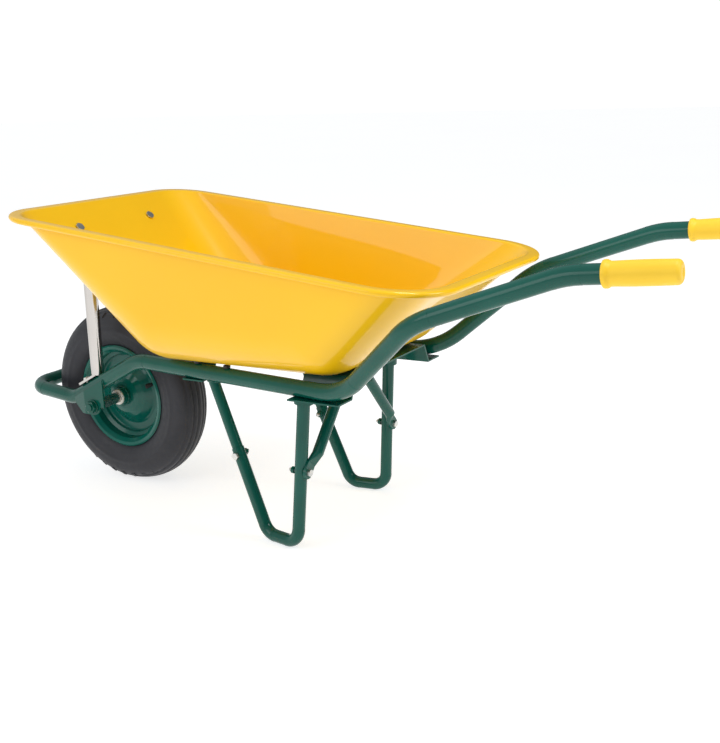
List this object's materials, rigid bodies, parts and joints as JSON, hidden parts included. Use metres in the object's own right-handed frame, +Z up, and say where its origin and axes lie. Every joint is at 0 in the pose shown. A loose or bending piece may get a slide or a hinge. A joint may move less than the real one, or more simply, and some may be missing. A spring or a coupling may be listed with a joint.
{
  "type": "wheelbarrow",
  "caption": "Single-wheel barrow: deep sheet tray on a bent tube frame with bumper loop, U-shaped legs, braces, pneumatic wheel and two gripped handles.",
  "frame": {"origin": "centre of the bounding box, on the floor", "axes": "+X along the barrow from the wheel to the handles, +Z up, +Y to the right of the middle plane that halves it"},
  "size_m": [1.5401, 0.566, 0.634],
  "materials": {
    "frame_paint": "dark bottle-green gloss enamel over steel tube",
    "rim_paint": "dark bottle-green gloss enamel over pressed steel",
    "tray_paint": "smooth warm yellow gloss enamel over pressed sheet steel",
    "grip_rubber": "soft yellow plastic with a dull sheen",
    "brace_chrome": "bright plated tube",
    "tyre_rubber": "black tyre rubber, dry and matt",
    "black_rubber": "black rubber",
    "zinc_steel": "zinc-plated steel fasteners",
    "bare_steel": "plain bright steel bar and tube",
    "bush_plastic": "off-white nylon"
  },
  "bodies": {
    "chassis": {"frame_tube": "frame_paint", "grip_left": "grip_rubber", "grip_right": "grip_rubber", "tray": "tray_paint", "tray_pads": "black_rubber", "tray_bolts": "zinc_steel", "tray_washers": "zinc_steel", "tray_nuts": "zinc_steel", "bridge_front": "frame_paint", "bridge_rear": "frame_paint", "leg_left": "frame_paint", "leg_right": "frame_paint", "leg_sockets": "frame_paint", "stay_left": "frame_paint", "stay_right": "frame_paint", "stay_bolts": "zinc_steel", "stay_nuts": "zinc_steel", "cross_brace_left": "frame_paint", "cross_brace_right": "frame_paint", "cross_bolts": "zinc_steel", "cross_nuts": "zinc_steel", "brace_left": "brace_chrome", "brace_right": "brace_chrome", "brace_bolts": "zinc_steel", "brace_nuts": "zinc_steel", "wheel_bracket_left": "frame_paint", "wheel_bracket_right": "frame_paint", "axle": "bare_steel", "axle_washers": "frame_paint", "axle_nuts": "frame_paint", "axle_spacers": "bare_steel"},
    "wheel": {"hub": "rim_paint", "hub_bushes": "bush_plastic", "rim_half_left": "rim_paint", "rim_half_right": "rim_paint", "tyre": "tyre_rubber", "inner_tube": "black_rubber", "valve_stem": "black_rubber", "valve_cap": "black_rubber"}
  },
  "joints": [
    {"name": "wheel_spin", "type": "hinge", "parent": "chassis", "child": "wheel", "pos_m": [-0.509, 0, 0.2], "axis": [0, 1, 0], "continuous": true}
  ]
}
